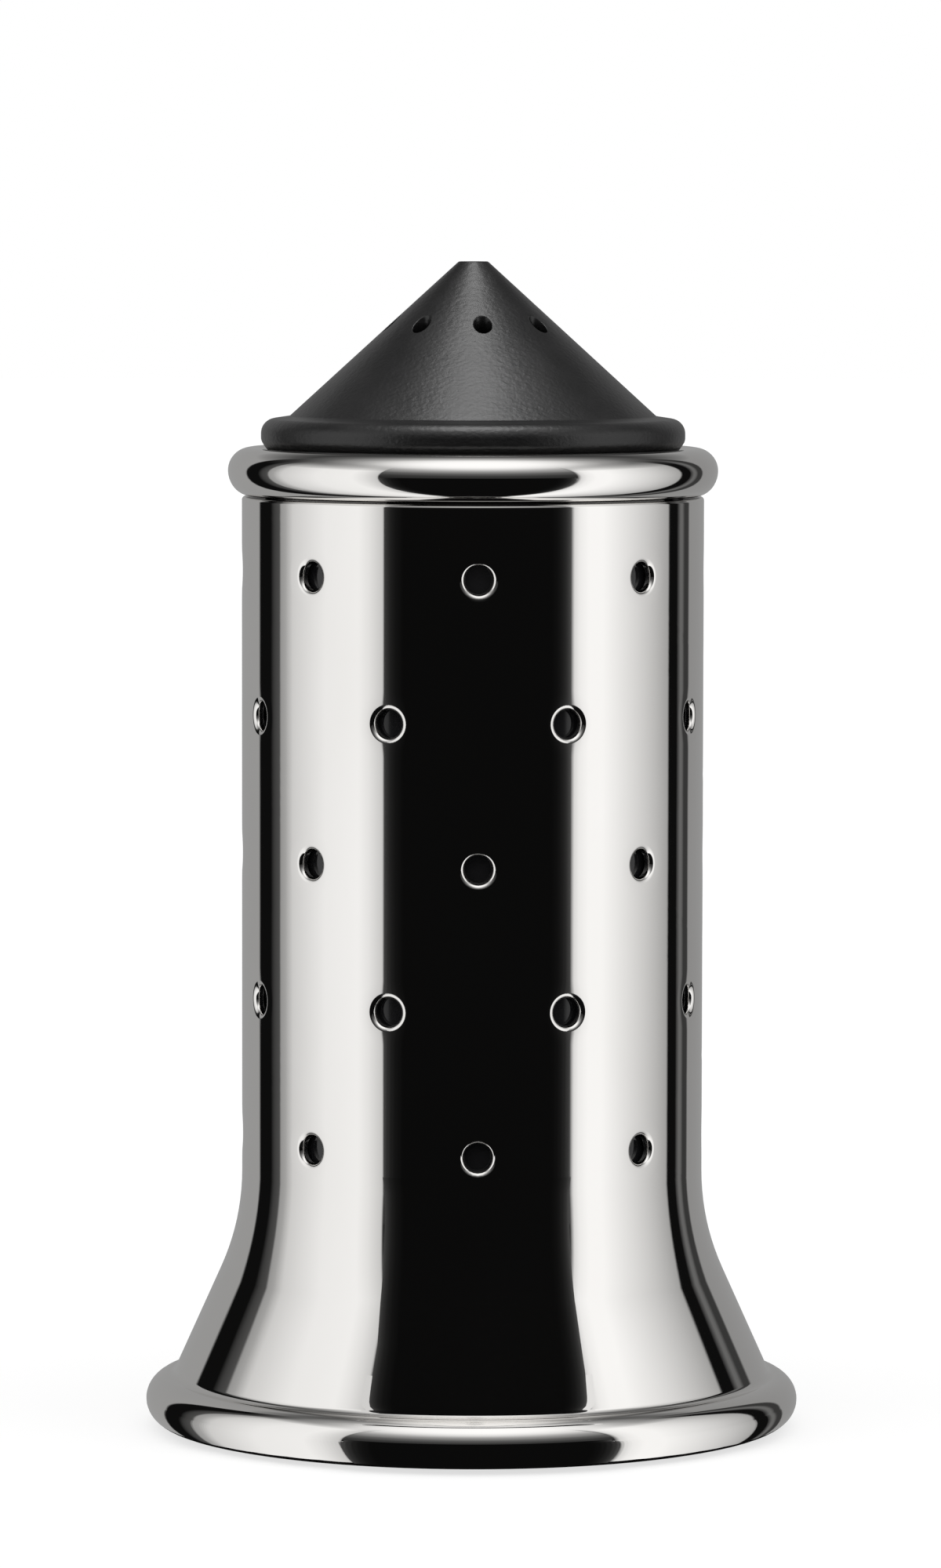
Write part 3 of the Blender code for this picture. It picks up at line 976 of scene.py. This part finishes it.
# Cards reach between two directions in which the body shows them, in degrees from the front.
# The side cards are bright by direction; fade is how solid a card is by height.
frontCard = {
    "edges": (-46.2, 48.2),
    "radius": 590,
    "fade": [(0, 1.0), (62, 1.0), (70, 0.0)],
}
rightCard = {
    "edges": (48, 180),
    "radius": 141,
    "directions": [
        (48, 0.035), (50, 0.85), (53, 1.05), (58, 1.16), (66, 1.16), (95, 0.72), (112.3, 0.44),
        (113.8, 0.005), (121.3, 0.005), (125.3, 0.16), (127.3, 0.15), (129.7, 0.045), (134.5, 0.045),
        (136.2, 0.31), (180, 0.335),
    ],
    "fade": [(0, 1.0), (143, 1.0), (157, 0.72), (180, 0.4), (203, 0.15), (232, 0.0)],
}
leftCard = {
    "edges": (-46, -180),
    "radius": 141,
    "directions": [
        (-46, 0.03), (-46.7, 0.7), (-54, 0.95), (-60, 1.08), (-80, 1.02), (-102.5, 0.745), (-108.7, 0.44),
        (-112.4, 0.37), (-113.8, 0.085), (-118.2, 0.055), (-122, 0.005), (-133.7, 0.005),
        (-135.5, 0.37), (-180, 0.335),
    ],
    "fade": rightCard["fade"],
}
footShade = {"inner": 12.0, "outer": 25.5, "level": 0.004}  # the dark under the foot, for the base bead
# A small flag before the foot keeps the middle of the flare black
flag = {
    "radius": 26.2,
    "edges": [(6.2, -23.2, 23.2), (9.8, -24.6, 25.4), (13, -25.6, 26.9), (21.5, -30.4, 31.0)],  # by height
    "round": 1.3,  # height of the round of its lower corners, and how far they tuck in, in degrees
    "tuck": 1.6,
    "steps": 8,
    "beside": 1.8,  # degrees that the strips beside it take up, and their brightness
    "levels": (0.78, 0.95),
}


def cardAngle(seen, radius, body):
    # a near card is met a little before the direction in which the body shows it
    shift = math.degrees(math.asin(body * math.sin(math.radians(abs(seen) / 2)) / radius))
    return math.copysign(abs(seen) - shift, seen)


def around(angle, radius, z):
    a = math.radians(angle)
    return (radius * math.sin(a), -radius * math.cos(a), z)


def glowTree(name):
    material = bpy.data.materials.new(name)
    material.use_nodes = True
    tree = material.node_tree
    tree.nodes.clear()
    glow = tree.nodes.new("ShaderNodeEmission")
    out = tree.nodes.new("ShaderNodeOutputMaterial")
    tree.links.new(glow.outputs["Emission"], out.inputs["Surface"])
    return material, tree, glow, out


def rampOf(tree, value, stops):
    ramp = tree.nodes.new("ShaderNodeValToRGB")
    marks = ramp.color_ramp.elements
    while len(marks) < len(stops):
        marks.new(0.5)
    for mark, (position, level) in zip(marks, stops):
        mark.position = position
        mark.color = (level, level, level, 1)
    tree.links.new(value, ramp.inputs["Fac"])
    return ramp.outputs["Color"]


def scaled(stops):
    # levels as shares of the highest one
    peak = max(level for position, level in stops)
    return peak, [(position, level / peak) for position, level in stops]


def sweep(tree):
    uv = tree.nodes.new("ShaderNodeUVMap")
    split = tree.nodes.new("ShaderNodeSeparateXYZ")
    tree.links.new(uv.outputs["UV"], split.inputs["Vector"])
    return split


def stageObject(name, points, faces, material, uvs=None):
    mesh = bpy.data.meshes.new(name)
    mesh.from_pydata([Vector(p) * mm for p in points], [], faces)
    if uvs:
        layer = mesh.uv_layers.new(name="sweep")
        for loop in mesh.loops:
            layer.data[loop.index].uv = uvs[loop.vertex_index]
    mesh.materials.append(material)
    obj = bpy.data.objects.new(name, mesh)
    bpy.context.scene.collection.objects.link(obj)
    return obj


def onlyReflected(obj):
    obj.visible_camera = False
    obj.visible_diffuse = False
    obj.visible_shadow = False
    obj.visible_transmission = False


def makeCard(name, card):
    # a card that stands round the shaker; a side card also lies on the floor, from the foot out
    material, tree, glow, out = glowTree(name)
    start, end = card["edges"]
    top = card["fade"][-1][0]
    split = sweep(tree)
    stops = studio["black"]
    if "directions" in card:
        stops = [((seen - start) / (end - start), level) for seen, level in card["directions"]]
    peak, levels = scaled(stops)
    tree.links.new(rampOf(tree, split.outputs["X"], levels), glow.inputs["Color"])
    glow.inputs["Strength"].default_value = peak
    clear = tree.nodes.new("ShaderNodeBsdfTransparent")
    either = tree.nodes.new("ShaderNodeMixShader")
    solid = rampOf(tree, split.outputs["Y"], [(height / top, share) for height, share in card["fade"]])
    tree.links.new(solid, either.inputs["Fac"])
    tree.links.new(clear.outputs["BSDF"], either.inputs[1])
    tree.links.new(glow.outputs["Emission"], either.inputs[2])
    tree.links.new(either.outputs["Shader"], out.inputs["Surface"])
    footRadius, radius = size("steel_shell")[1].x, card["radius"]
    steps = studio["cardSteps"]
    points, uvs, faces = [], [], []

    def addColumn(share, nearAngle, farAngle):
        points.append(around(nearAngle, studio["underFoot"], studio["sideLift"]))
        points.append(around(farAngle, radius, studio["sideLift"]))
        points.append(around(farAngle, radius, top))
        uvs.extend([(share, 0), (share, 0), (share, 1)])

    for i in range(steps + 1):
        seen = start + (end - start) * i / steps
        near = cardAngle(seen, footRadius, footRadius)
        addColumn(i / steps, near, cardAngle(seen, radius, shell["bodyRadius"]))
    if "directions" in card:
        addColumn(1, 180, 180)  # on to the middle of the back, where the two side cards meet
    for i in range(0, len(points) - 3, 3):
        if "directions" in card:
            faces.append((i, i + 3, i + 4, i + 1))
        faces.append((i + 1, i + 4, i + 5, i + 2))
    onlyReflected(stageObject(name, points, faces, material, uvs))


def makeDome():
    # a far dome with one soft glow overhead
    material, tree, glow, out = glowTree("dome")
    where = tree.nodes.new("ShaderNodeTexCoord")
    unit = tree.nodes.new("ShaderNodeVectorMath")
    unit.operation = "NORMALIZE"
    split = tree.nodes.new("ShaderNodeSeparateXYZ")
    tree.links.new(where.outputs["Object"], unit.inputs[0])
    tree.links.new(unit.outputs["Vector"], split.inputs["Vector"])
    # the ramp runs by the height on the ball, from its lowest point to its top
    upwards = ranged(tree, split.outputs["Z"], 0.0, 1.0, -1.0, 1.0)
    stops = [((1 + math.cos(math.radians(angle))) / 2, level) for angle, level in reversed(studio["glow"])]
    peak, shares = scaled(stops)
    tree.links.new(rampOf(tree, upwards, shares), glow.inputs["Color"])
    glow.inputs["Strength"].default_value = peak
    bm = bmesh.new()
    bmesh.ops.create_icosphere(bm, subdivisions=studio["domeFineness"], radius=studio["domeRadius"])
    points = [tuple(v.co) for v in bm.verts]
    faces = [[v.index for v in f.verts] for f in bm.faces]
    bm.free()
    obj = stageObject("dome", points, faces, material)
    obj.scale = studio["domeStretch"]
    obj.rotation_euler = (math.radians(studio["glowTilt"]), 0, math.radians(studio["glowAzimuth"]))
    onlyReflected(obj)


def curvedSheet(name, levels, rows):
    # rows of radius, height, and the angles of the two ends; each is an arc round the shaker
    material, tree, glow, out = glowTree(name)
    peak, shares = scaled(levels)
    glow.inputs["Strength"].default_value = peak
    if len(levels) > 1:
        tree.links.new(rampOf(tree, sweep(tree).outputs["X"], shares), glow.inputs["Color"])
    points, uvs, faces = [], [], []
    across = studio["sheetSteps"]
    for r, z, left, right in rows:
        points += [around(left + (right - left) * i / across, r, z) for i in range(across + 1)]
        uvs += [(i / across, 0) for i in range(across + 1)]
    for row in range(len(rows) - 1):
        for i in range(row * (across + 1), row * (across + 1) + across):
            faces.append((i, i + 1, i + across + 2, i + across + 1))
    onlyReflected(stageObject(name, points, faces, material, uvs))


def makeFrontFloor():
    # between the parts of the side cards that lie on the floor, and on to the front card
    lift, edges = studio["frontLift"], frontCard["edges"]
    rows = [(studio["underFoot"], lift, *(edge / 2 for edge in edges))]
    for r in (rightCard["radius"], frontCard["radius"]):
        rows.append((r, lift, *(cardAngle(edge, r, shell["bodyRadius"]) for edge in edges)))
    curvedSheet("frontFloor", studio["black"], rows)
    shadeRows = [(footShade[edge], studio["shadeLift"], -180, 180) for edge in ("inner", "outer")]
    curvedSheet("footShade", [(0, footShade["level"])], shadeRows)


def makeFlag():
    # its lower corners are round, and white strips beside them carry on the light of the side cards
    r, lowest = flag["radius"], flag["edges"][0][0]
    rows = []
    for (low, *lowEnds), (high, *highEnds) in zip(flag["edges"], flag["edges"][1:]):
        for i in range(flag["steps"] + 1):
            q = i / flag["steps"]
            z = low + (high - low) * q
            short = max(0.0, (lowest + flag["round"] - z) / flag["round"])
            tuck = flag["tuck"] * (1 - math.sqrt(1 - short**2))
            left, right = (a + (b - a) * q for a, b in zip(lowEnds, highEnds))
            rows.append((r, z, left + tuck, right - tuck))
    curvedSheet("flag", studio["black"], rows)
    corners = rows[:flag["steps"] + 1]
    leftRows = [(r, z, left - flag["beside"], left) for r, z, left, right in corners]
    rightRows = [(r, z, right, right + flag["beside"]) for r, z, left, right in corners]
    for name, level, strip in zip(("leftStrip", "rightStrip"), flag["levels"], (leftRows, rightRows)):
        curvedSheet(name, [(0, level)], strip)


def makeCards():
    for name, card in (("frontCard", frontCard), ("rightCard", rightCard), ("leftCard", leftCard)):
        makeCard(name, card)
    makeDome()
    makeFrontFloor()
    makeFlag()
    print("cards placed")


makeCards()


def seenDirectly(tree):
    # 1 for what the camera, a reflection or a clear piece looks at, 0 for light that only falls on things
    path = tree.nodes.new("ShaderNodeLightPath")
    seen = path.outputs["Is Camera Ray"]
    for other in ("Is Glossy Ray", "Is Transmission Ray"):
        either = tree.nodes.new("ShaderNodeMath")
        either.operation = "MAXIMUM"
        tree.links.new(seen, either.inputs[0])
        tree.links.new(path.outputs[other], either.inputs[1])
        seen = either.outputs[0]
    return seen


paleFloor = {"colour": 0.35, "roughness": 0.8, "glow": 0.7, "reach": 4000}


def makeFloor():
    material, tree, shader = newFinish("paleFloor", (paleFloor["colour"],) * 3, paleFloor["roughness"])
    shader.inputs["Specular IOR Level"].default_value = 0.0
    shader.inputs["Emission Color"].default_value = (1, 1, 1, 1)
    glow = ranged(tree, seenDirectly(tree), 0.0, paleFloor["glow"], 0.0, 1.0)
    tree.links.new(glow, shader.inputs["Emission Strength"])
    # clear from below, so that the underside of the shaker can be looked at
    side = tree.nodes.new("ShaderNodeNewGeometry")
    clear = tree.nodes.new("ShaderNodeBsdfTransparent")
    either = tree.nodes.new("ShaderNodeMixShader")
    tree.links.new(side.outputs["Backfacing"], either.inputs["Fac"])
    tree.links.new(shader.outputs["BSDF"], either.inputs[1])
    tree.links.new(clear.outputs["BSDF"], either.inputs[2])
    tree.links.new(either.outputs["Shader"], tree.nodes["Material Output"].inputs["Surface"])
    far = paleFloor["reach"]
    points = [(-far, -far, 0), (far, -far, 0), (far, far, 0), (-far, far, 0)]
    stageObject("floor", points, [(0, 1, 2, 3)], material)


makeFloor()


surroundFill = 0.5  # the light that the white surround throws on things
lamps = {
    "topLamp": {"azimuth": 4, "elevation": 70, "spread": 70, "strength": 1.1},
    "leftLamp": {"azimuth": -75, "elevation": 25, "spread": 60, "strength": 0.5},
    "rightLamp": {"azimuth": 75, "elevation": 25, "spread": 60, "strength": 0.5},
}
# The sheen down the front of the cone
sheenLamp = {"azimuth": 8, "elevation": 86, "spread": 18, "strength": 1.85}


def makeWorld():
    world = bpy.data.worlds.new("surround")
    world.use_nodes = True
    bpy.context.scene.world = world
    tree = world.node_tree
    background = tree.nodes["Background"]
    background.inputs["Color"].default_value = (1, 1, 1, 1)
    level = ranged(tree, seenDirectly(tree), surroundFill, 1.0, 0.0, 1.0)
    tree.links.new(level, background.inputs["Strength"])


def makeLamp(name, lamp):
    data = bpy.data.lights.new(name, "SUN")
    data.angle = math.radians(lamp["spread"])
    data.energy = lamp["strength"]
    obj = bpy.data.objects.new(name, data)
    a, e = math.radians(lamp["azimuth"]), math.radians(lamp["elevation"])
    way = Vector((math.sin(a) * math.cos(e), -math.cos(a) * math.cos(e), math.sin(e)))
    obj.rotation_euler = way.to_track_quat("Z", "Y").to_euler()
    obj.visible_camera = False
    obj.visible_glossy = False
    bpy.context.scene.collection.objects.link(obj)
    return obj


def onlyFor(lamp, *pieces):
    group = bpy.data.collections.new(lamp.name + "For")
    for piece in pieces:
        group.objects.link(bpy.data.objects[piece])
    lamp.light_linking.receiver_collection = group
    lamp.visible_glossy = True


makeWorld()
for name, lamp in lamps.items():
    makeLamp(name, lamp)
onlyFor(makeLamp("sheenLamp", sheenLamp), "coneCap", "capSeal")
bpy.context.scene.view_settings.view_transform = "Standard"
print("floor and lamps placed")
